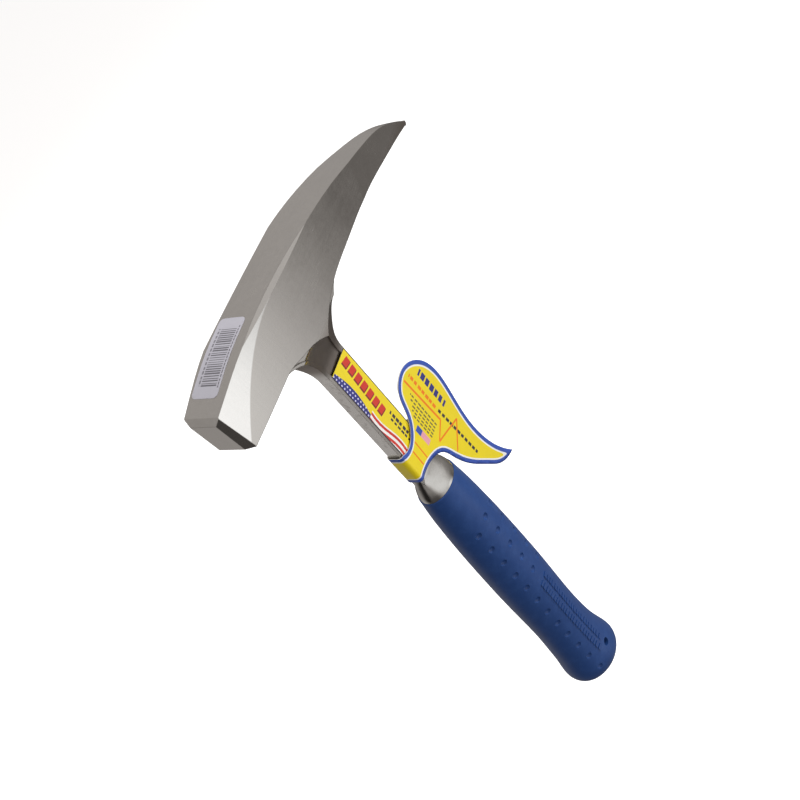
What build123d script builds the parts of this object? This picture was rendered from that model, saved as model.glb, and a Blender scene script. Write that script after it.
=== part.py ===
from build123d import *
import math
import os

# Rock hammer: a one-piece steel forging with a pointed pick, a moulded grip and its shop labels.
#
# Frame: the origin is the centre of the butt end of the grip, +Z runs up the handle to the head,
# +X points to the pick tip, -X to the striking face, and Y is the thickness of the hammer.
# All lengths are millimetres.

# ---- Driving dimensions -------------------------------------------------------------------
overall_height = 330.0          # butt of the grip to the crown of the head

# Head
face_x = -62.2                  # top edge of the striking face
face_tilt = 1.9                 # how far the lower edge of the face leans towards the handle
face_top_drop = 4.9             # top edge of the face below the crown
poll_underside_z = 303.9
pick_underside_z = 302.2
pick_tip_x = 121.6
pick_tip_z = 290.5
pick_tip_radius = 1.6
cheek_half_thickness = 9.95
cheek_crown_radius = 1400.0     # the cheeks bulge gently about a vertical axis
cheek_crown_x = 0.0
cheek_point = (0.6, 292.6)      # lowest corner of the cheek, where it runs down on to the neck
face_bevel = 2.2
face_half_width = 8.4

# Grinding on the head
pick_grind_start_x = 72.5
pick_grind_start_z = 316.0
pick_grind_half_width = 7.8
pick_grind_slope = 0.125
pick_grind_lean = 0.03
poll_facet_radius = 908.0
poll_facet_lean = 0.022
poll_facet_start = (-9.0, 328.0)
shoulder_bevel_depth = 1.1
shoulder_bevel_x = -4.0
shoulder_bevel_drop = 0.6       # bevel datum below the crown
shoulder_bevel_fall = 0.045     # slope of the bevel towards the pick

# Neck and bolster
neck_half_width = 8.1
neck_half_thickness = 3.0
neck_bottom_z = 195.0
neck_root_z = 312.0             # the neck is buried in the head up to here
flare_start_z = 270.0           # the edges start to spread towards the head
cove_start_z = 276.5            # the flats start to thicken towards the head
web_recess_depth = 0.8
neck_rim = 2.1
bolster_stations = (            # height, half width, half thickness, squareness (2 is an oval)
    (203.0, 7.8, 2.8, 5.0),
    (200.3, 8.05, 2.95, 4.5),
    (197.0, 9.0, 4.0, 3.3),
    (194.0, 10.1, 5.7, 2.6),
    (190.5, 11.3, 7.7, 2.15),
    (187.0, 12.0, 8.8, 2.0),
)
bolster_section_points = 32
tang_top = (187.0, 7.6, 2.9)
tang_end = (26.0, 5.2, 2.3)
tang_corner_radius = 1.0

# Grip
grip_top_z = 187.0
grip_stations = (               # height, half width, half depth, forward offset
    (0.0, 11.8, 8.9, 2.8),
    (8.0, 17.4, 13.2, 3.0),
    (17.0, 18.6, 14.1, 1.0),
    (27.0, 17.2, 13.0, 0.4),
    (40.0, 16.1, 12.2, 0.0),
    (60.0, 15.4, 11.7, 0.0),
    (100.0, 15.9, 12.0, 0.0),
    (140.0, 15.3, 11.6, 0.0),
    (170.0, 13.9, 10.6, 0.0),
    (187.0, 12.4, 9.2, 0.0),
)
grip_sections = 24              # evenly spaced ovals that the grip is lofted through
butt_radius = 5.0
grip_mouth_radius = 0.5
dimple_radius = 2.1
dimple_depth = 1.2
dimple_pitch = 12.45
dimple_rows = (                 # offset across the grip, height of the top dimple, count
    (-9.6, 154.8, 12),
    (-0.9, 158.0, 5),
    (8.0, 154.8, 5),
)
bar_rows = (-2.2, 2.6)          # raised pads stand in two rows beside the long dimple row
bar_height = 0.45
bar_width = 3.2
bar_lengths = (1.7, 2.6, 2.1)
bar_corner = 0.5
bar_root = 1.0                  # pads are sunk this far into the grip
bar_top_z = 97.0
bar_bottom_z = 27.0
bar_gap = 0.9
core_pin_hole = (3.0, 21.6)     # across the grip, height
core_pin_diameter = 4.4
core_pin_depth = 3.0

# Labels and hang tag
label_thickness = 0.12
barcode_size = (34.0, 12.4)
barcode_centre = (-35.4, 1.4)
barcode_corner = 2.0
neck_label_left = -6.6
neck_label_right = 7.9
neck_label_bottom_z = 200.3
neck_label_top_z = 276.0
neck_label_slant = 0.4
card_thickness = 0.3
loop_half_depth = 4.2
loop_left_x = -9.3
loop_right_x = 9.6
loop_join_x = 14.5
loop_corner_radius = 2.0
flag_overlap = 3.0              # the doubled flag starts this far inside the loop's sharp corner
tag_bottom_z = 200.5
tag_band_top_z = 221.0

# How far blanks and cutters reach past the part
blank_reach = 15.0
cutter_reach = 60.0
# -------------------------------------------------------------------------------------------


def side_face(outline):
    """A face in the XZ plane from curves given as (x, z)."""
    return Plane.XZ * make_face(outline)


def both_ways(face, half_depth):
    """Extrude a side face the same distance to -Y and +Y."""
    return extrude(face, amount=half_depth, both=True)


def rounded_section(z, half_width, half_depth, corner):
    """A rounded rectangle across the handle at a height."""
    return Plane((0, 0, z)) * RectangleRounded(2 * half_width, 2 * half_depth, corner)


# ---- Head ---------------------------------------------------------------------------------
def head_outline():
    """Side outline: crowned top, falling pick, straight poll and the cheek's low corner."""
    face_top = (face_x, overall_height - face_top_drop)
    face_bottom = (face_x + face_tilt, poll_underside_z)
    tip_top = (pick_tip_x - 1.0, pick_tip_z + 1.2)
    tip_bottom = (pick_tip_x - 2.2, pick_tip_z - 0.6)
    top = Spline(
        face_top, (-36, 329.4), (-15, 329.9), (12, 328.5), (49, 323.2), (87, 311.9), tip_top,
        tangents=((1, 0.17), (1, -0.95)),
    )
    tip = ThreePointArc(tip_top, (pick_tip_x, pick_tip_z - 0.1), tip_bottom)
    pick_bottom = Spline(
        tip_bottom, (92, 296.8), (64, pick_underside_z), (34, pick_underside_z + 0.3),
        tangents=((-1, 0.30), (-1, 0)),
    )
    cheek_front = Spline(
        (34, pick_underside_z + 0.3), (22, 301.6), (11, 298.6), cheek_point,
        tangents=((-1, 0), (-1, -0.9)),
    )
    cheek_back = Spline(
        cheek_point, (-8, 298.3), (-17, 301.4), (-27, poll_underside_z),
        tangents=((-1, 0.95), (-1, 0)),
    )
    poll_bottom = Line((-27, poll_underside_z), face_bottom)
    face = Line(face_bottom, face_top)
    return top + tip + pick_bottom + cheek_front + cheek_back + poll_bottom + face


def upright_cylinder(x, y, radius):
    """A cylinder parallel to the handle that spans the height of the head."""
    return Pos(x, y, overall_height) * Cylinder(radius, 4 * cutter_reach)


def crowned_slab(crown_x, half_thickness, radius):
    """Material between two large upright cylinders, widest at crown_x."""
    reach = radius - half_thickness
    front = upright_cylinder(crown_x, reach, radius)
    back = upright_cylinder(crown_x, -reach, radius)
    return front & back


def pick_grind():
    """One of the two flat grinds that bring the pick to its point: everything at +Y of it."""
    normal = Vector(pick_grind_slope, 1, -pick_grind_lean)
    start = (pick_grind_start_x, pick_grind_half_width, pick_grind_start_z)
    plane = Plane(origin=start, x_dir=(1, -pick_grind_slope, 0), z_dir=normal)
    return extrude(plane * Rectangle(3 * cutter_reach, 2 * cutter_reach), amount=cutter_reach)


def poll_facet():
    """The shallow ground facet behind the striking face: everything at +Y of it."""
    start_x, start_z = poll_facet_start
    start_y = cheek_half_thickness - (start_x - cheek_crown_x) ** 2 / (2 * cheek_crown_radius)
    slope = (cheek_crown_x - start_x) / cheek_crown_radius
    lean = Rot(math.degrees(math.atan(poll_facet_lean)), 0, 0)
    turn = Rot(0, 0, math.degrees(math.atan(slope)))
    keep = Pos(0, -poll_facet_radius, 0) * Cylinder(poll_facet_radius, 2 * cutter_reach)
    slab = Pos(-cutter_reach / 2, 0, 0) * Box(cutter_reach, 2 * blank_reach, 1.5 * cutter_reach)
    return Pos(start_x, start_y, start_z) * (turn * lean * (slab - keep))


def shoulder_bevel():
    """A long shallow bevel on the corner between the crown and a cheek, at the +Y side."""
    corner = (shoulder_bevel_x, cheek_half_thickness, overall_height - shoulder_bevel_drop)
    plane = Plane(
        origin=corner, x_dir=(1, 0, -shoulder_bevel_fall), z_dir=(shoulder_bevel_fall, 1, 1),
    )
    strip = plane.offset(-shoulder_bevel_depth) * Rectangle(4 * cutter_reach, cutter_reach)
    return extrude(strip, amount=cutter_reach / 2)


def face_bevels():
    """Four 45 degree bevels round the striking face."""
    height = overall_height - face_top_drop - poll_underside_z
    middle_z = poll_underside_z + height / 2
    outward = Vector(-height, 0, -face_tilt)
    face_plane = Plane(origin=(face_x + face_tilt / 2, 0, middle_z), x_dir=(0, 1, 0), z_dir=outward)
    cutters = []
    for quarter in range(4):
        reach = height / 2 if quarter % 2 else face_half_width
        corner = Rot(0, 0, 90 * quarter) * Pos(reach - face_bevel, 0, 0) * Rot(0, 45, 0)
        cutter = Pos(0, 0, cutter_reach / 2) * Box(cutter_reach, cutter_reach, cutter_reach)
        cutters.append(face_plane * corner * cutter)
    return cutters


def head_blank():
    return both_ways(side_face(head_outline()), blank_reach)


def build_head():
    head = head_blank()
    head = head & crowned_slab(cheek_crown_x, cheek_half_thickness, cheek_crown_radius)
    for cutter in (pick_grind(), poll_facet(), shoulder_bevel()):
        head = head - cutter - mirror(cutter, Plane.XZ)
    return head - face_bevels()


# ---- Neck, bolster and tang ---------------------------------------------------------------
def neck_outline(rim=0.0):
    """Side outline of the neck, or of its web when a rim width is taken off both sides."""
    left = -neck_half_width + rim
    right = neck_half_width - rim
    left_end = (-28 + rim, 304.5)
    left_flare = Spline(
        (left, flare_start_z), (-9.0 + rim, 281.5), (-12.4 + rim, 290.5), left_end,
        tangents=((0, 1), (-1, 0.4)),
    )
    if rim:
        right_start = (right, flare_start_z)
        right_end = (right - 3, 304.5)
        right_flare = Polyline(right_start, (right - 1.6, 288), right_end)
    else:
        right_start = (right, flare_start_z + 5)
        right_end = (28, 303)
        right_flare = Spline(
            right_start, (9.4, 288.4), (15.6, 296.6), right_end, tangents=((0, 1), (1, 0.3)),
        )
    bottom = Polyline(
        (left, flare_start_z), (left, neck_bottom_z), (right, neck_bottom_z), right_start,
    )
    lid = Polyline(left_end, (0, neck_root_z), right_end)
    return left_flare + lid + right_flare + bottom


def neck_edge_view(thinner=0.0):
    """Half thickness of the neck along its height, as a YZ face mirrored about the middle."""
    half = neck_half_thickness - thinner
    cove_start = (half, cove_start_z)
    cove_end = (half + 6.2, 298)
    cove = Spline(
        cove_start, (half + 1.1, 284), (half + 3.0, 290.5), cove_end, tangents=((0, 1), (1, 1)),
    )
    rest = Polyline(
        cove_end, (half + 6.2, neck_root_z), (0, neck_root_z), (0, neck_bottom_z),
        (half, neck_bottom_z), cove_start,
    )
    face = Plane.YZ * make_face(cove + rest)
    return face + mirror(face, Plane.XZ)


def build_neck():
    """The flat neck with a shallow web between its rims, spreading into the head at the top."""
    flanges = both_ways(side_face(neck_outline()), blank_reach)
    flanges = flanges & extrude(neck_edge_view(), amount=cutter_reach, both=True)
    hollow = both_ways(side_face(neck_outline(neck_rim)), blank_reach)
    hollow = hollow - extrude(neck_edge_view(web_recess_depth), amount=cutter_reach, both=True)
    return flanges - hollow


def squared_oval(z, half_width, half_depth, squareness):
    """A closed section that runs from an oval to nearly a rectangle as squareness grows."""
    points = []
    for step in range(bolster_section_points):
        turn = 2 * math.pi * step / bolster_section_points
        x, y = math.cos(turn), math.sin(turn)
        reach = (abs(x) ** squareness + abs(y) ** squareness) ** (-1 / squareness)
        points.append((half_width * x * reach, half_depth * y * reach))
    return Plane((0, 0, z)) * make_face(Spline(*points, periodic=True))


def build_bolster():
    """The round shoulder that swells from the flat neck to the mouth of the grip."""
    return loft([squared_oval(*station) for station in bolster_stations])


def build_tang():
    sections = []
    for z, half_width, half_depth in (tang_top, tang_end):
        sections.append(rounded_section(z, half_width, half_depth, tang_corner_radius))
    return loft(sections)


def build_forging():
    return build_head() + build_neck() + build_bolster() + build_tang()


# ---- Grip ---------------------------------------------------------------------------------
def grip_section(z):
    """Half width, half depth and forward offset at a height, smooth through the stations."""
    last = len(grip_stations) - 1
    upper = next(i for i in range(1, last + 1) if z <= grip_stations[i][0] or i == last)
    lower = upper - 1
    span = grip_stations[upper][0] - grip_stations[lower][0]
    t = (z - grip_stations[lower][0]) / span

    def slope(i, value):
        before, after = grip_stations[max(i - 1, 0)], grip_stations[min(i + 1, last)]
        return (after[value] - before[value]) / (after[0] - before[0]) * span

    section = []
    for value in (1, 2, 3):
        start, end = grip_stations[lower][value], grip_stations[upper][value]
        rise = t * t * (3 - 2 * t)
        leave = t * (1 - t) ** 2 * slope(lower, value)
        arrive = t * t * (t - 1) * slope(upper, value)
        section.append(start + (end - start) * rise + leave + arrive)
    return section


def grip_blank():
    sections = []
    for step in range(grip_sections + 1):
        z = grip_top_z * step / grip_sections
        half_width, half_depth, offset = grip_section(z)
        sections.append(Plane((offset, 0, z)) * Ellipse(half_width, half_depth))
    blank = loft(sections)
    blank = fillet(blank.edges().sort_by(Axis.Z)[0], butt_radius)
    return fillet(blank.edges().sort_by(Axis.Z)[-1], grip_mouth_radius)


def surface_frame(body, x, z, side):
    """A plane on the skin of the grip at (x, z), its normal pointing outwards."""
    outside = cutter_reach * side
    hits = body.find_intersection_points(Axis((x, outside, z), (0, -side, 0)))
    point, normal = min(hits, key=lambda hit: abs(hit[0].Y - outside))
    return Plane(origin=point, x_dir=(0, 0, 1), z_dir=normal)


def dimples(body, side):
    """Spherical dimples in three rows down one flat of the grip."""
    tools = []
    for x, top_z, count in dimple_rows:
        for step in range(count):
            skin = surface_frame(body, x, top_z - step * dimple_pitch, side)
            centre = skin.offset(dimple_radius - dimple_depth).origin
            tools.append(Pos(*centre) * Sphere(dimple_radius))
    return tools


def raised_bars(body, side):
    """Two rows of small raised pads that repeat three lengths."""
    pads = []
    for row, x in enumerate(bar_rows):
        z = bar_top_z
        index = row
        while z > bar_bottom_z:
            length = bar_lengths[index % len(bar_lengths)]
            skin = surface_frame(body, x, z - length / 2, side)
            outline = RectangleRounded(length, bar_width, bar_corner)
            root = skin.offset(-bar_root)
            pads.append(extrude(root * outline, amount=bar_root + bar_height))
            z -= length + bar_gap
            index += 1
    return pads


def build_grip(forging):
    blank = grip_blank()
    grip = blank
    for side in (-1, 1):
        grip = grip - dimples(blank, side)
        grip = grip + raised_bars(blank, side)
    x, z = core_pin_hole
    skin = surface_frame(blank, x, z, -1)
    hole = extrude(skin * Circle(core_pin_diameter / 2), amount=-core_pin_depth)
    grip = grip - hole
    return grip - forging


# ---- Labels and hang tag --------------------------------------------------------------------
def build_barcode_label():
    """A paper label that follows the curve of the crown."""
    steel = head_blank()
    layer = Pos(0, 0, label_thickness) * steel - steel
    footprint = Pos(*barcode_centre, 300) * RectangleRounded(*barcode_size, barcode_corner)
    return layer & extrude(footprint, amount=cutter_reach)


def build_neck_label():
    """A foil label stuck across the flat of the neck, on the -Y side."""
    outline = Polyline(
        (neck_label_left, neck_label_bottom_z), (neck_label_right, neck_label_bottom_z),
        (neck_label_right, neck_label_top_z),
        (neck_label_left, neck_label_top_z - neck_label_slant),
        close=True,
    )
    plane = Plane.XZ.offset(neck_half_thickness)
    return extrude(plane * make_face(outline), amount=label_thickness)


def tag_outline():
    """Front outline of the hang tag: a band across the neck that swells into a long leaf."""
    left = loop_left_x
    tip = (44.5, 144.5)
    band_left = Line((left, tag_bottom_z), (left, tag_band_top_z))
    upper = Spline(
        (left, tag_band_top_z), (1, 217.8), (8.6, 225), (13.2, 235.4), (22.8, 239.9), (32.2, 234.5),
        (37.8, 222), (37.3, 205), (35, 186), (36.6, 165), tip,
    )
    lower = Spline(
        tip, (33.5, 149.5), (27.5, 158), (21.8, 167), (16.8, 177), (13.6, 187), (10.8, 194.2),
        (4, 199.5), (left, tag_bottom_z),
    )
    return band_left + upper + lower


def tag_plan():
    """Plan of the folded card: a glued loop round the neck and the doubled flag beside it."""
    outer = Polyline(
        (loop_left_x, -loop_half_depth), (loop_join_x, -loop_half_depth),
        (loop_right_x, loop_half_depth), (loop_left_x, loop_half_depth),
        close=True,
    )
    outer = make_face(outer)
    rounded = [corner for corner in outer.vertices() if corner.X < loop_join_x - 1]
    outer = fillet(rounded, loop_corner_radius)
    loop = outer - offset(outer, -card_thickness)
    flag_start = loop_join_x - flag_overlap
    middle = (flag_start + cutter_reach / 2, -loop_half_depth + card_thickness)
    flag = Pos(*middle) * Rectangle(cutter_reach, 2 * card_thickness)
    return loop + flag


def build_hang_tag():
    card = both_ways(Plane.XY.offset(tag_band_top_z) * tag_plan(), 2 * cutter_reach)
    return card & both_ways(side_face(tag_outline()), blank_reach)


# ---- Assembly -------------------------------------------------------------------------------
def main():
    forging = build_forging()
    pieces = {
        "forged_steel_body": forging,
        "grip_sleeve": build_grip(forging),
        "barcode_label": build_barcode_label(),
        "neck_label": build_neck_label(),
        "hang_tag": build_hang_tag(),
    }
    os.makedirs("parts", exist_ok=True)
    for name, solid in pieces.items():
        solid.label = name
        export_step(solid, f"parts/{name}.step")


main()
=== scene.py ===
import bpy
import math
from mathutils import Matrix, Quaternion, Vector, geometry


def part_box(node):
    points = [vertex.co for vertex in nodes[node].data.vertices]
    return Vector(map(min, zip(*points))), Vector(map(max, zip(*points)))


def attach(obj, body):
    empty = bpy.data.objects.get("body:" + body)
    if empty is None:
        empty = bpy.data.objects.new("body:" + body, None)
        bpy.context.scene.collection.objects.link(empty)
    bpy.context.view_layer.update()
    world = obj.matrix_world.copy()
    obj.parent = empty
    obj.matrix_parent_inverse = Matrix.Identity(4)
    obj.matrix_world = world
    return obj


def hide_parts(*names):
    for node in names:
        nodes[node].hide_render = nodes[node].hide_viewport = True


# Looks of the rock hammer: ground steel, a moulded blue grip, printed labels and a folded card
# tag. Pieces are built in metres in the part's own frame; patterns are laid out in millimetres.
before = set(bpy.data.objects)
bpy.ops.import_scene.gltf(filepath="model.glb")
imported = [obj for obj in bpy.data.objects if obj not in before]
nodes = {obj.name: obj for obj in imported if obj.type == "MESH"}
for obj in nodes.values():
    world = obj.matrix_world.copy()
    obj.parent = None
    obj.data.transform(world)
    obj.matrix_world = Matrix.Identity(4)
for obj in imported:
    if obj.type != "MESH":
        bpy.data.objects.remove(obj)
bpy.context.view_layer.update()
MM = 0.001


# ---- Node trees as formulas -----------------------------------------------------------------
class Value:
    """A socket of a node tree that takes part in ordinary arithmetic."""

    def __init__(self, graph, socket):
        self.graph = graph
        self.socket = socket

    def __add__(self, other):
        return self.graph.math("ADD", self, other)

    def __sub__(self, other):
        return self.graph.math("SUBTRACT", self, other)

    def __rsub__(self, other):
        return self.graph.math("SUBTRACT", other, self)

    def __mul__(self, other):
        return self.graph.math("MULTIPLY", self, other)

    def __truediv__(self, other):
        return self.graph.math("DIVIDE", self, other)

    def __abs__(self):
        return self.graph.math("ABSOLUTE", self)

    __radd__ = __add__
    __rmul__ = __mul__


class Graph:
    """Short calls that add nodes to one node tree."""

    def __init__(self, tree):
        self.tree = tree

    def add(self, kind, **settings):
        node = self.tree.nodes.new(kind)
        for name, setting in settings.items():
            setattr(node, name, setting)
        return node

    def feed(self, socket, value):
        """Link a Value into a socket, or store a number or a colour in it."""
        if isinstance(value, Value):
            self.tree.links.new(value.socket, socket)
        elif isinstance(value, tuple) and len(socket.default_value) == 4:
            socket.default_value = (*value, 1.0)
        else:
            socket.default_value = value

    def math(self, operation, *values):
        node = self.add("ShaderNodeMath", operation=operation)
        for socket, value in zip(node.inputs, values):
            self.feed(socket, value)
        return Value(self, node.outputs[0])

    def minimum(self, *values):
        result = values[0]
        for value in values[1:]:
            result = self.math("MINIMUM", result, value)
        return result

    def maximum(self, *values):
        result = values[0]
        for value in values[1:]:
            result = self.math("MAXIMUM", result, value)
        return result

    def wave(self, value, period, phase=0.0):
        """A sine of the given period."""
        return self.math("SINE", value * (2 * math.pi / period) + phase)

    def rise(self, value, low, high):
        """0 below low and 1 above high, smooth between them; low may be the greater one."""
        node = self.add("ShaderNodeMapRange", interpolation_type="SMOOTHSTEP")
        flip = low > high
        for socket, number in zip(node.inputs, (value, min(low, high), max(low, high))):
            self.feed(socket, number)
        node.inputs[3].default_value = 1.0 if flip else 0.0
        node.inputs[4].default_value = 0.0 if flip else 1.0
        return Value(self, node.outputs[0])

    def step(self, value, edge, soft=0.12):
        """0 below the edge and 1 above it, with a short soft step."""
        return self.rise(value - edge, -soft / 2, soft / 2)

    def between(self, value, low, high, soft=0.12):
        return self.step(value, low, soft) * (1.0 - self.step(value, high, soft))

    def combine(self, x, y, z):
        node = self.add("ShaderNodeCombineXYZ")
        for socket, value in zip(node.inputs, (x, y, z)):
            self.feed(socket, value)
        return Value(self, node.outputs[0])

    def split(self, vector, scale=1.0):
        node = self.add("ShaderNodeSeparateXYZ")
        self.feed(node.inputs[0], vector)
        return [Value(self, socket) * scale for socket in node.outputs]

    def place(self):
        """x, y and z of the shaded point in the part's frame, in millimetres."""
        node = self.add("ShaderNodeTexCoord")
        return self.split(Value(self, node.outputs["Object"]), 1 / MM)

    def direction(self):
        """The unit normal of the surface in the part's frame."""
        node = self.add("ShaderNodeTexCoord")
        return self.split(Value(self, node.outputs["Normal"]))

    def noise(self, vector, detail=2.0, roughness=0.5, scale=1.0):
        node = self.add("ShaderNodeTexNoise")
        self.feed(node.inputs["Vector"], vector)
        node.inputs["Scale"].default_value = scale
        node.inputs["Detail"].default_value = detail
        node.inputs["Roughness"].default_value = roughness
        return Value(self, node.outputs["Fac"])

    def random(self, value):
        """A fixed random number from 0 to 1 for each whole number."""
        node = self.add("ShaderNodeTexWhiteNoise", noise_dimensions="1D")
        self.feed(node.inputs["W"], value)
        return Value(self, node.outputs["Value"])

    def mix(self, first, second, share):
        """Colours or values: first where share is 0 and second where it is 1."""
        node = self.add("ShaderNodeMix", data_type="RGBA", clamp_factor=True)
        self.feed(node.inputs[0], share)
        self.feed(node.inputs[6], first)
        self.feed(node.inputs[7], second)
        return Value(self, node.outputs[2])

    def soft_edges(self, radius_mm):
        """A normal that rounds every sharp edge by a small radius."""
        node = self.add("ShaderNodeBevel", samples=6)
        node.inputs["Radius"].default_value = radius_mm * MM
        return Value(self, node.outputs[0])

    def bump(self, height, depth_mm, strength=1.0, normal=None):
        node = self.add("ShaderNodeBump")
        if normal:
            self.feed(node.inputs["Normal"], normal)
        node.inputs["Strength"].default_value = strength
        node.inputs["Distance"].default_value = depth_mm * MM
        self.feed(node.inputs["Height"], height)
        return Value(self, node.outputs["Normal"])


def new_material(name):
    """A material with one Principled shader: returns its graph, the shader and the material."""
    material = bpy.data.materials.new(name)
    material.use_nodes = True
    graph = Graph(material.node_tree)
    return graph, material.node_tree.nodes["Principled BSDF"], material


def set_surface(graph, shader, **inputs):
    names = {
        "colour": "Base Color", "roughness": "Roughness", "metallic": "Metallic",
        "normal": "Normal", "specular": "Specular IOR Level", "sheen": "Sheen Weight",
        "sheen_roughness": "Sheen Roughness", "coat": "Coat Weight",
        "coat_roughness": "Coat Roughness",
    }
    for name, value in inputs.items():
        graph.feed(shader.inputs[names[name]], value)


def dress(node, material):
    """Give a CAD node its finished material."""
    node.data.materials.clear()
    node.data.materials.append(material)


# ---- Steel ----------------------------------------------------------------------------------
steel_ground = (0.60, 0.577, 0.548)
steel_facet = (0.74, 0.73, 0.71)
steel_bolster = (0.66, 0.65, 0.625)
# dark neck tone: partly the forging's own dark skin, partly painted shade of the recessed web
steel_forged_skin_and_shade = (0.40, 0.355, 0.32)
# neck edge faces: a polished tone raised further as a painted brighter reflection
steel_flank_polish_and_highlight = (0.92, 0.905, 0.88)
steel_stain = (0.16, 0.115, 0.085)
steel_edge = 0.35               # radius that the ground edges look broken by
facet_start_x = -9.0            # the facet begins here on the crown and falls away to the face
facet_start_z = 328.0
facet_curve = 0.0088            # how fast the facet's edge falls away, per millimetre squared
cheek_bottom_z = 292.6
flare_top_z = 284.0             # the ground edges of the neck fade out above this height
bolster_top_z = 200.0
web_half_width = 6.4            # inside this the neck keeps its dark forging skin and painted recess shade
rim_half_width = 7.2


def steel_material():
    """Ground cheeks with a polished facet, a darker neck and a bright bolster.
    The neck's darker colour is partly its own forging skin and partly painted shade of the recess.

    Each mask is 1 on its own zone of the forging and 0 elsewhere.
    """
    graph, shader, material = new_material("forged_steel")
    x, y, z = graph.place()
    normal_x, normal_y, normal_z = graph.direction()

    place = graph.combine(x, y, z)
    grain = graph.noise(graph.combine(x * 0.05, y * 1.6, z * 2.4), detail=4.0, roughness=0.6)
    scratches = graph.noise(graph.combine(x * 0.9, y * 0.6, z * 0.06), detail=3.0, scale=1.3)
    speckle = graph.noise(place, detail=2.0, scale=2.3)
    mottle = graph.noise(place, detail=3.0, roughness=0.6, scale=0.42)
    clouds = graph.noise(place, detail=2.0, scale=0.055)

    flank = graph.step(abs(normal_x), 0.75, 0.2) * graph.rise(z, flare_top_z, flare_top_z - 10.0)
    flank = flank * graph.rise(z, bolster_top_z, bolster_top_z + 6.0)
    calm = 1.0 - flank * 0.85
    grain = (grain - 0.5) * calm + 0.5
    speckle = (speckle - 0.5) * calm + 0.5

    side = graph.step(abs(normal_y), 0.93, 0.05)
    reach = x - facet_start_x
    facet_edge = facet_start_z - reach * reach * facet_curve
    facet = graph.step(z - facet_edge, 0.0, 0.9) * (1.0 - graph.step(x, facet_start_x)) * side
    # neck zone, darker in colour: its rough forging skin plus painted shade of the recess
    forged_skin_and_shade = graph.rise(z, cheek_bottom_z + 6, cheek_bottom_z - 2)
    forged_skin_and_shade = forged_skin_and_shade * graph.rise(z, bolster_top_z - 1.0, bolster_top_z + 3.0)
    rim = graph.rise(abs(x), web_half_width, rim_half_width)
    rim = rim * graph.rise(z, flare_top_z, flare_top_z - 8.0)
    forged_skin_and_shade = forged_skin_and_shade * (1.0 - rim * 0.75)
    stain = graph.rise(mottle + (clouds - 0.5) * 0.5, 0.54, 0.70) * rim
    stain = stain * graph.rise(z, bolster_top_z, bolster_top_z + 6.0)
    bolster = graph.rise(z, bolster_top_z + 2.0, bolster_top_z - 2.0)

    colour = graph.mix(steel_ground, steel_facet, facet)
    colour = graph.mix(colour, steel_forged_skin_and_shade, forged_skin_and_shade)
    colour = graph.mix(colour, steel_bolster, bolster)
    # the neck's edge faces take the lighter tone: painted brighter reflection over their polish
    colour = graph.mix(colour, steel_flank_polish_and_highlight, flank)
    colour = graph.mix(colour, steel_stain, stain * 0.25)
    shade = 0.90 + clouds * 0.12 + (grain - 0.5) * 0.10 + (speckle - 0.5) * 0.07
    shade = shade + (mottle - 0.5) * 0.12 + (scratches - 0.5) * 0.06
    colour = graph.mix((0.0, 0.0, 0.0), colour, shade)
    roughness = 0.235 + (clouds - 0.5) * 0.10 + (grain - 0.5) * 0.10
    roughness = roughness - facet * 0.07 + forged_skin_and_shade * 0.14 - bolster * 0.09
    roughness = roughness + (mottle - 0.5) * 0.06
    smooth = graph.maximum(bolster * 0.8, flank * 0.8)
    height = (grain + mottle * 0.4) * (1.0 - smooth) + speckle * 0.35
    set_surface(
        graph, shader, colour=colour, metallic=1.0, roughness=roughness,
        normal=graph.bump(height, 0.006, 0.45, graph.soft_edges(steel_edge)),
    )
    return material


# ---- Grip -----------------------------------------------------------------------------------
grip_blue = (0.014, 0.050, 0.185)
grip_blue_worn = (0.024, 0.070, 0.230)


def grip_material():
    """Moulded vinyl: a fine skin texture, faint flow marks and a soft waxy sheen."""
    graph, shader, material = new_material("blue_grip")
    x, y, z = graph.place()
    place = graph.combine(x, y, z)
    skin = graph.noise(place, detail=3.0, roughness=0.6, scale=1.5)
    flow = graph.noise(graph.combine(x * 0.14, y * 0.14, z * 0.03), detail=2.0)
    dust = graph.noise(place, detail=5.0, roughness=0.7, scale=0.18)
    colour = graph.mix(grip_blue, grip_blue_worn, graph.rise(dust, 0.42, 0.72) * 0.6 + flow * 0.25)
    roughness = 0.40 + (flow - 0.5) * 0.16 + (skin - 0.5) * 0.10
    set_surface(
        graph, shader, colour=colour, roughness=roughness, specular=0.36,
        normal=graph.bump(skin + flow * 0.6, 0.035, 0.6), sheen=0.08, sheen_roughness=0.35,
    )
    return material


# ---- Labels ---------------------------------------------------------------------------------
ink_yellow = (0.83, 0.66, 0.012)
ink_blue = (0.036, 0.085, 0.40)
ink_navy = (0.028, 0.030, 0.20)
ink_white = (0.86, 0.86, 0.84)
ink_orange = (0.86, 0.20, 0.008)
ink_red = (0.60, 0.035, 0.02)
ink_dark = (0.035, 0.032, 0.045)
ink_pink = (0.78, 0.36, 0.42)
paper_core = (0.80, 0.78, 0.72)


def paper_finish(graph, shader, colour, roughness=0.38, coat=0.15):
    """A printed sheet: faint fibres under a thin varnish."""
    x, y, z = graph.place()
    place = graph.combine(x, y, z)
    fibre = graph.noise(place, detail=4.0, roughness=0.65, scale=1.1)
    stain = graph.noise(place, detail=2.0, scale=0.12)
    shade = 0.94 + (fibre - 0.5) * 0.10 + (stain - 0.5) * 0.10
    set_surface(
        graph, shader, colour=graph.mix((0.0, 0.0, 0.0), colour, shade),
        roughness=roughness + (stain - 0.5) * 0.12, specular=0.4, coat=coat,
        coat_roughness=0.22, normal=graph.bump(fibre, 0.012, 0.35),
    )


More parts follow.
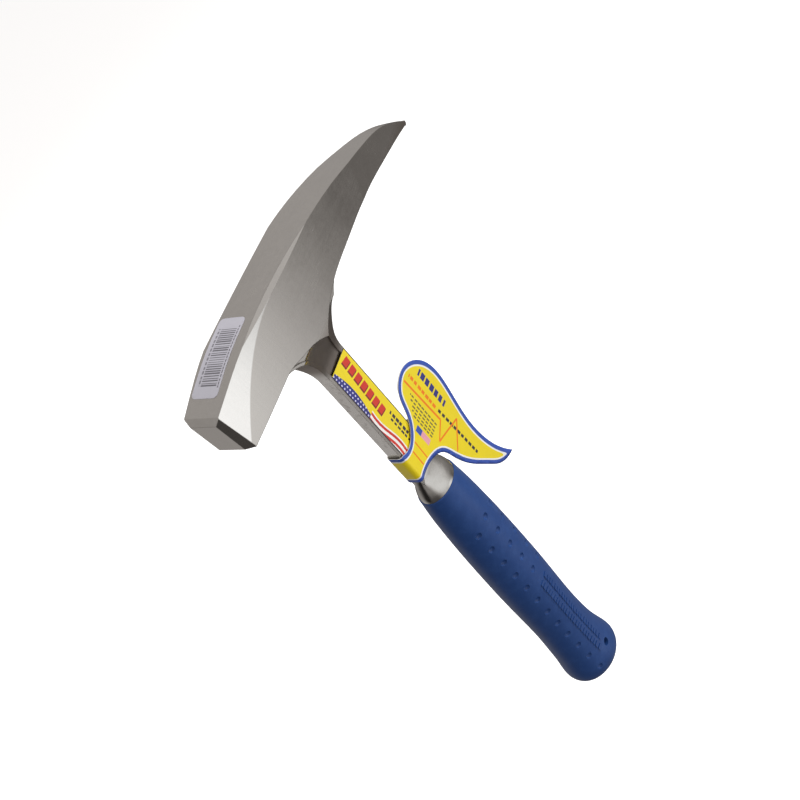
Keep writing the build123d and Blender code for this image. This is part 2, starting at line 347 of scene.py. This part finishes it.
def word_bars(graph, along, across, start, end, centre, height, seed, word=3.0):
    """One line of dummy text: blocks of uneven length with gaps, from start to end."""
    cell = graph.math("FLOOR", along / word)
    inside = along - cell * word
    length = graph.random(cell + seed) * (word * 0.25) + word * 0.68
    block = graph.between(inside, word * 0.08, length, 0.1)
    line = graph.between(across, centre - height / 2, centre + height / 2, 0.1)
    return block * line * graph.between(along, start, end)


barcode_cell = 0.95             # one bar of random width stands in each cell


def barcode_material():
    """A pale paper label with a meaningless bar pattern."""
    low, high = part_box("barcode_label")
    centre_x = (low.x + high.x) / 2 / MM
    centre_y = (low.y + high.y) / 2 / MM
    half_length = (high.x - low.x) / 2 / MM
    graph, shader, material = new_material("barcode_paper")
    x, y, z = graph.place()
    along = x - centre_x
    across = y - centre_y
    cell = graph.math("FLOOR", along / barcode_cell)
    inside = along - cell * barcode_cell
    bar = graph.random(cell) * 0.42 + 0.28
    bars = (1.0 - graph.step(inside, bar, 0.06)) * graph.step(inside, 0.03, 0.06)
    bars = bars * graph.between(across, -4.4, 3.2) * graph.between(along, -12.4, 12.4)
    ticks = word_bars(graph, along, across, -13.0, 13.0, -5.2, 0.5, 11.0, word=1.5)
    ticks = graph.maximum(
        ticks, word_bars(graph, along, across, -12.0, 12.0, 4.1, 0.8, 23.0, word=1.9) * 0.8,
    )
    margin = graph.step(abs(along), half_length - 0.5, 0.3) * 0.15
    colour = graph.mix((0.53, 0.52, 0.58), (0.09, 0.085, 0.10), graph.maximum(bars, ticks) * 0.85)
    colour = graph.mix(colour, (0.45, 0.44, 0.48), margin)
    paper_finish(graph, shader, colour, roughness=0.5, coat=0.05)
    return material


def neck_label_material():
    """Yellow foil label: red blocks, a blue field with pale spots, wavy stripes, dummy text."""
    low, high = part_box("neck_label")
    graph, shader, material = new_material("neck_label_foil")
    x, y, z = graph.place()
    top = high.z / MM
    depth = top - z                     # distance down from the top edge of the label
    left = x - low.x / MM               # distance in from the edge on the striking side
    width = (high.x - low.x) / MM

    colour = ink_yellow
    border_curve = 2.4 + graph.wave(depth, 52.0, -0.2) * 1.6
    field = (1.0 - graph.step(left, border_curve)) * graph.between(depth, 0.8, 29.5)
    colour = graph.mix(colour, ink_navy, field)
    spot_x = graph.math("FRACT", left / 1.7) - 0.5
    spot_z = graph.math("FRACT", depth / 2.1 + graph.math("FLOOR", left / 1.7) * 0.5) - 0.5
    spots = 1.0 - graph.step(spot_x * spot_x + spot_z * spot_z, 0.055, 0.03)
    colour = graph.mix(colour, (0.62, 0.62, 0.85), spots * field)
    band = left + graph.wave(depth, 34.0, 1.2) * 0.9
    stripes_area = graph.step(depth, 29.5) * (1.0 - graph.step(band, 4.4))
    stripe = graph.step(graph.math("FRACT", band / 2.5), 0.5, 0.08)
    colour = graph.mix(colour, graph.mix(ink_red, ink_white, stripe), stripes_area)

    across = left - 11.0 + depth * 0.075
    lean = across * 0.25
    rows = graph.between(depth, 2.0, 37.0)
    along = graph.math("FRACT", (depth - 2.0) / 5.0) * 5.0 - 2.5 - lean
    face = (1.0 - graph.step(abs(along), 1.75)) * (1.0 - graph.step(abs(across), 2.0)) * rows
    shadow = (1.0 - graph.step(abs(along - 0.3), 2.0))
    shadow = shadow * (1.0 - graph.step(abs(across + 0.5), 2.3)) * rows
    colour = graph.mix(colour, (0.20, 0.02, 0.02), shadow)
    colour = graph.mix(colour, ink_red, face)
    for centre, start, end, height in ((10.6, 40.0, 62.0, 1.5), (8.6, 42.0, 60.0, 1.0)):
        text = word_bars(graph, depth, left, start, end, centre, height, centre)
        colour = graph.mix(colour, ink_dark, text)
    edge = graph.minimum(left, width - left, depth, z - low.z / MM)
    colour = graph.mix(ink_dark, colour, graph.step(edge, 0.35, 0.15))
    paper_finish(graph, shader, colour, roughness=0.30, coat=0.4)
    return material


# ---- Hang tag -------------------------------------------------------------------------------
tag_border = 2.0
tag_keyline = 0.75
tag_top_z = 240.0
tag_body_lines = (18.2, 16.4, 14.8, 13.2, 11.7)    # u of each line of small dummy text
tag_zigzag = (                  # corners (u, v) of the broken orange rule
    (20.2, 236.0), (21.9, 203.5), (13.4, 198.9), (29.7, 192.9), (17.8, 184.0),
)
card = 0.3                      # thickness of one layer of card
grid = 1.1                      # spacing of the points inside the card
loop_corner = 2.0               # radius of the folds at the left of the loop
loop_back_end_x = 9.6           # the back of the loop turns towards the flag here
loop_join_x = 14.8              # and is glued to the flag here
flag_start_x = 13.5             # the card is doubled beyond this
curl_start_x = 15.0
curl_reach = 30.0
curl_lift = 1.1


def tag_colours(graph, u, v, edge, printed):
    """Yellow card with a blue border, a white line, orange rules and dummy text.

    u runs across the unrolled card and v up it, both as in the part's x and z on the front face;
    edge is the distance from the cut edge. All are millimetres.
    """
    colour = graph.mix(ink_white, ink_yellow, graph.step(edge, tag_border + tag_keyline))
    colour = graph.mix(ink_blue, colour, graph.step(edge, tag_border))
    inside = graph.step(edge, tag_border + tag_keyline + 0.2)

    def draw(base, ink, mask):
        return graph.mix(base, ink, mask * inside)

    depth = tag_top_z - v
    title = word_bars(graph, depth, u, 10.5, 35.5, 29.6, 3.2, 5.0, word=4.2)
    colour = draw(colour, ink_navy, title)
    second = word_bars(graph, depth, u, 5.5, 30.5, 24.2, 1.6, 9.0, word=3.4)
    colour = draw(colour, ink_orange, second)
    for line, centre in enumerate(tag_body_lines):
        text = word_bars(graph, depth, u, 11.0 + line * 1.7, 35.2, centre, 0.75, line * 7.0)
        colour = draw(colour, ink_dark, text * 0.85)
    slanted = u + v * 0.062
    long_line = word_bars(graph, depth, slanted, 31.6, 70.5, 37.3, 1.5, 31.0, word=3.6)
    colour = draw(colour, ink_dark, long_line)

    def rule(colour, start, end, ink, width=0.55):
        """A straight printed rule between two points (u, v)."""
        along = Vector((end[0] - start[0], end[1] - start[1]))
        length = along.length
        along.normalize()
        du = u - start[0]
        dv = v - start[1]
        distance = abs(du * along.y - dv * along.x)
        travel = du * along.x + dv * along.y
        mask = (1.0 - graph.step(distance, width / 2)) * graph.between(travel, 0.0, length)
        return draw(colour, ink, mask)

    for start, end in zip(tag_zigzag, tag_zigzag[1:]):
        colour = rule(colour, start, end, ink_orange, 1.0)
    for offset in (-1.6, 2.6):
        colour = rule(colour, (offset, 218.0), (offset - 0.6, 203.0), ink_orange, 0.7)
    patch = graph.between(v, 205.2, 217.2) * graph.between(u, 7.0, 10.0)
    colour = draw(colour, ink_pink, patch)
    colour = draw(colour, ink_blue, patch * graph.step(v, 212.6))
    return graph.mix(paper_core, colour, printed)


def tag_materials():
    """Materials of the outer face, the inner face and the cut edge of the card."""
    made = []
    for name in ("tag_card_print", "tag_card_back"):
        graph, shader, material = new_material(name)
        attribute = graph.add("ShaderNodeAttribute", attribute_name="print")
        u, v, edge = graph.split(Value(graph, attribute.outputs["Vector"]))
        printed = 1.0 if name == "tag_card_print" else graph.step(u, 14.0)
        colour = tag_colours(graph, u, v, edge, printed)
        paper_finish(graph, shader, colour, roughness=0.34, coat=0.25)
        made.append(material)
    graph, shader, material = new_material("tag_card_edge")
    paper_finish(graph, shader, paper_core, roughness=0.7, coat=0.0)
    made.append(material)
    return made


def front_outline(node):
    """The outline (x, z), in millimetres, of a node's flat face that looks towards -Y."""
    mesh = node.data
    low_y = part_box(node.name)[0].y
    loose = {}
    for polygon in mesh.polygons:
        points = [mesh.vertices[i].co for i in polygon.vertices]
        if max(point.y for point in points) - low_y < 0.01 * MM:
            keys = [(round(p.x / MM, 3), round(p.z / MM, 3)) for p in points]
            for start, end in zip(keys, keys[1:] + keys[:1]):
                if loose.get(end) and start in loose[end]:
                    loose[end].remove(start)
                else:
                    loose.setdefault(start, []).append(end)
    following = {start: ends[0] for start, ends in loose.items() if ends}
    first = min(following)
    outline = [first]
    while following[outline[-1]] != first:
        outline.append(following[outline[-1]])
    return [Vector(point) for point in outline]


def evenly(points, spacing):
    """Points along a closed outline no further apart than spacing."""
    result = []
    for start, end in zip(points, points[1:] + points[:1]):
        pieces = max(1, math.ceil((end - start).length / spacing))
        result += [start.lerp(end, step / pieces) for step in range(pieces)]
    return result


def edge_distance(point, outline):
    """Distance from a point to the nearest stretch of the outline."""
    best = 1e9
    for start, end in zip(outline, outline[1:] + outline[:1]):
        along = end - start
        t = max(0.0, min(1.0, (point - start).dot(along) / along.length_squared))
        best = min(best, (start + along * t - point).length)
    return best


class LoopPath:
    """Plan of the card: flat in front, round the neck, and back to the flag behind it."""

    def __init__(self, low, high, corner, back_end_x, join):
        self.front_y = low.y / MM
        self.corner = corner
        self.left = low.x / MM
        self.back_y = high.y / MM
        self.back_end_x = back_end_x
        self.join = join
        self.bend_x = self.left + corner
        self.quarter = math.pi / 2 * corner
        self.side = self.back_y - self.front_y - 2 * corner
        self.back = back_end_x - self.bend_x
        diagonal = Vector(join) - Vector((back_end_x, self.back_y))
        self.diagonal = diagonal.length
        self.direction = diagonal.normalized()

    def length_behind(self):
        return 2 * self.quarter + self.side + self.back + self.diagonal

    def at(self, u):
        """Point (x, y) on the outer face and the inward normal at unrolled position u."""
        if u >= self.bend_x:
            return Vector((u, self.front_y)), Vector((0, 1))
        s = self.bend_x - u
        if s < self.quarter:
            turn = s / self.corner
            centre = Vector((self.bend_x, self.front_y + self.corner))
            inward = Vector((math.sin(turn), math.cos(turn)))
            return centre - inward * self.corner, inward
        s -= self.quarter
        if s < self.side:
            return Vector((self.left, self.front_y + self.corner + s)), Vector((1, 0))
        s -= self.side
        if s < self.quarter:
            turn = s / self.corner
            centre = Vector((self.bend_x, self.back_y - self.corner))
            inward = Vector((math.cos(turn), -math.sin(turn)))
            return centre - inward * self.corner, inward
        s -= self.quarter
        if s < self.back:
            return Vector((self.bend_x + s, self.back_y)), Vector((0, -1))
        s -= self.back
        start = Vector((self.back_end_x, self.back_y))
        inward = Vector((self.direction.y, -self.direction.x))
        return start + self.direction * s, inward


def curl(u, v):
    """How far the free flag lifts towards -Y, in millimetres."""
    beyond = max(0.0, u - curl_start_x)
    ripple = 0.35 * math.sin(beyond / 9.0) * (v - 190.0) / 45.0
    return -curl_lift * (beyond / curl_reach) ** 2 - ripple


def build_tag():
    """The folded card tag: one sheet, doubled behind the flag."""
    node = nodes["hang_tag"]
    low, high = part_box("hang_tag")
    flat = front_outline(node)
    glued_y = low.y / MM + 2 * card - 0.1
    path = LoopPath(low, high, loop_corner, loop_back_end_x, (loop_join_x, glued_y))
    bend_x = path.bend_x
    left_points = [point for point in flat if point.x < bend_x + 0.05]
    band_low = min(point.y for point in left_points)
    band_high = max(point.y for point in left_points)
    ordered = turn_to(flat, left_points, band_low, band_high)
    far = bend_x - path.length_behind()
    sheet = ordered + [Vector((far, band_high)), Vector((far, band_low))]
    outline = evenly(sheet, grid)
    points = list(outline)
    columns = math.ceil((max(p.x for p in outline) - far) / grid)
    rows = math.ceil((max(p.y for p in outline) - min(p.y for p in outline)) / grid)
    floor_v = min(p.y for p in outline)
    for column in range(columns + 1):
        for row in range(rows + 1):
            shift = grid / 2 if row % 2 else 0.0
            point = Vector((far + column * grid + shift, floor_v + row * grid))
            if is_inside(point, outline) and edge_distance(point, outline) > 0.55 * grid:
                points.append(point)
    loop = list(range(len(outline)))
    made = geometry.delaunay_2d_cdt(points, [], [loop], 1, 1e-4)
    flat_points, triangles = made[0], made[2]
    distances = [edge_distance(p, outline) for p in flat_points]
    return solid_card(flat_points, triangles, distances, path)


def turn_to(flat, left_points, band_low, band_high):
    """The flat outline from the lower left corner round the flag to the upper left corner."""
    corner = min(flat, key=lambda p: (p - Vector((left_points[0].x, band_low))).length)
    start = flat.index(corner)
    turned = flat[start:] + flat[:start]
    if turned[1].x < turned[0].x + 0.01 and turned[1].y > turned[0].y:
        turned = [turned[0]] + turned[:0:-1]
    return turned


def is_inside(point, outline):
    """Whether a point lies inside a closed outline."""
    inside = False
    for a, b in zip(outline, outline[1:] + outline[:1]):
        if (a.y > point.y) != (b.y > point.y):
            crossing = a.x + (point.y - a.y) / (b.y - a.y) * (b.x - a.x)
            if point.x < crossing:
                inside = not inside
    return inside


def solid_card(flat_points, triangles, distances, path):
    """Close the sheet into a thin solid: outer face, inner face and cut edge."""
    count = len(flat_points)
    outer, inner = [], []
    for point in flat_points:
        (x, y), (inward_x, inward_y) = path.at(point.x)
        layers = 1.0 + max(0.0, min(1.0, point.x - flag_start_x))
        depth = card * layers
        lift = curl(point.x, point.y)
        inner_x = x + inward_x * depth
        inner_y = y + lift + inward_y * depth
        outer.append((x * MM, (y + lift) * MM, point.y * MM))
        inner.append((inner_x * MM, inner_y * MM, point.y * MM))
    faces = []
    kinds = []
    rim = {}
    for a, b, c in triangles:
        faces.append((a, b, c))
        faces.append((a + count, c + count, b + count))
        kinds += [0, 1]
        for start, end in ((a, b), (b, c), (c, a)):
            if (end, start) in rim:
                del rim[(end, start)]
            else:
                rim[(start, end)] = True
    for start, end in rim:
        faces.append((start, start + count, end + count, end))
        kinds.append(2)
    mesh = bpy.data.meshes.new("hang_tag_card")
    mesh.from_pydata(outer + inner, [], faces)
    for material in tag_materials():
        mesh.materials.append(material)
    for polygon, kind in zip(mesh.polygons, kinds):
        polygon.material_index = kind
        polygon.use_smooth = kind < 2
    layout = mesh.attributes.new("print", "FLOAT_VECTOR", "POINT")
    for index, (point, distance) in enumerate(zip(flat_points, distances)):
        layout.data[index].vector = (point.x, point.y, distance)
        layout.data[index + count].vector = (point.x, point.y, distance)
    mesh.update()
    piece = bpy.data.objects.new("hang_tag_card", mesh)
    bpy.context.scene.collection.objects.link(piece)
    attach(piece, "tag")
    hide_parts("hang_tag")
    return piece


# ---- Stage ----------------------------------------------------------------------------------
def add_floor(height):
    mesh = bpy.data.meshes.new("floor")
    reach = 6.0
    corners = [(-reach, -reach, height), (reach, -reach, height), (reach, reach, height),
               (-reach, reach, height)]
    mesh.from_pydata(corners, [], [(0, 1, 2, 3)])
    floor = bpy.data.objects.new("floor", mesh)
    bpy.context.scene.collection.objects.link(floor)
    graph, shader, material = new_material("pale_floor")
    set_surface(graph, shader, colour=(0.9, 0.9, 0.9), roughness=0.9, specular=0.1)
    shader.inputs["Emission Color"].default_value = (1.0, 1.0, 1.0, 1.0)
    shader.inputs["Emission Strength"].default_value = 0.55
    mesh.materials.append(material)
    floor.visible_glossy = False
    floor.visible_diffuse = False


room_panels = (                 # direction, inner and outer angle, brightness added
    ((0.35, -0.755, -0.56), 0.0, 20.5, 1.15),
    ((0.78, -0.32, -0.54), 4.0, 24.0, 0.08),
    ((0.0, -1.0, -0.15), 10.0, 45.0, 0.62),
    ((0.5, -0.72, 0.48), 8.0, 38.0, 0.5),
    ((0.35, 0.8, 0.45), 20.0, 75.0, 0.20),
    ((-0.35, 0.65, -0.67), 5.0, 35.0, 0.3),
    ((-0.66, 0.38, 0.64), 8.0, 42.0, 0.22),
    ((-0.95, 0.3, -0.1), 5.0, 35.0, -0.28),
    ((-0.75, -0.3, -0.6), 10.0, 40.0, -0.05),
)


room_shade = (1.0, 0.925, 0.875)   # the dim parts of the room are warmer than the panels


def lobe(graph, heading, centre, inner, outer):
    """1 within the inner angle of a direction, falling to 0 at the outer angle, in degrees."""
    aim = Vector(centre).normalized()
    cosine = heading[0] * aim.x + heading[1] * aim.y + heading[2] * aim.z
    angle = graph.math("ARCCOSINE", graph.minimum(cosine, 0.99999)) * math.degrees(1.0)
    return graph.rise(angle, outer, inner)


def add_surroundings():
    """A white room that the steel sees as soft panels and darker gaps."""
    world = bpy.data.worlds.new("studio")
    world.use_nodes = True
    bpy.context.scene.world = world
    graph = Graph(world.node_tree)
    background = world.node_tree.nodes["Background"]
    coordinates = graph.add("ShaderNodeTexCoord")
    heading = graph.split(Value(graph, coordinates.outputs["Generated"]))
    level = 0.12 + graph.rise(heading[2], -0.5, -0.1) * 0.18
    for centre, inner, outer, amount in room_panels:
        level = level + lobe(graph, heading, centre, inner, outer) * amount
    path = graph.add("ShaderNodeLightPath")
    seen = Value(graph, path.outputs["Is Camera Ray"])
    strength = graph.maximum(level, 0.02) * (1.0 - seen) + seen
    graph.feed(background.inputs["Strength"], strength)
    tint = graph.mix(room_shade, (1.0, 1.0, 1.0), level + seen)
    graph.feed(background.inputs["Color"], tint)


def add_panel(name, place, aim, size, power):
    """A soft rectangular studio light."""
    light = bpy.data.lights.new(name, "AREA")
    light.shape = "RECTANGLE"
    light.size, light.size_y = size
    light.energy = power
    panel = bpy.data.objects.new(name, light)
    panel.location = place
    panel.rotation_mode = "QUATERNION"
    panel.rotation_quaternion = (Vector(aim) - Vector(place)).to_track_quat("-Z", "Y")
    panel.visible_camera = False
    panel.visible_glossy = False
    bpy.context.scene.collection.objects.link(panel)


# ---- Camera ---------------------------------------------------------------------------------
camera_azimuth = -40.41
camera_elevation = 41.22
camera_roll = -40.69
camera_distance = 0.55
camera_lens = 56.25
aim_point = (0.0208, 0.0066, 0.2213)


def add_camera():
    azimuth, elevation = math.radians(camera_azimuth), math.radians(camera_elevation)
    back = Vector((
        math.sin(azimuth) * math.cos(elevation),
        -math.cos(azimuth) * math.cos(elevation),
        math.sin(elevation),
    ))
    data = bpy.data.cameras.new("camera")
    data.lens = camera_lens
    data.sensor_width = 36.0
    camera = bpy.data.objects.new("camera", data)
    camera.location = Vector(aim_point) + back * camera_distance
    roll = Quaternion((0, 0, 1), math.radians(camera_roll))
    camera.rotation_mode = "QUATERNION"
    camera.rotation_quaternion = (-back).to_track_quat("-Z", "Y") @ roll
    bpy.context.scene.collection.objects.link(camera)
    bpy.context.scene.camera = camera


# ---- Put together ---------------------------------------------------------------------------
dress(nodes["forged_steel_body"], steel_material())
dress(nodes["grip_sleeve"], grip_material())
dress(nodes["barcode_label"], barcode_material())
dress(nodes["neck_label"], neck_label_material())
build_tag()
add_floor(-0.3)
add_surroundings()
add_panel("key_panel", (0.75, -0.55, 0.85), (0.0, 0.0, 0.15), (0.5, 0.5), 11.0)
add_panel("fill_panel", (-0.5, -1.0, 0.3), (0.0, 0.0, 0.15), (0.9, 0.9), 4.0)
add_panel("back_panel", (0.2, 0.95, 0.75), (0.0, 0.0, 0.15), (0.9, 0.5), 5.0)
add_camera()
bpy.context.scene.view_settings.view_transform = "Standard"
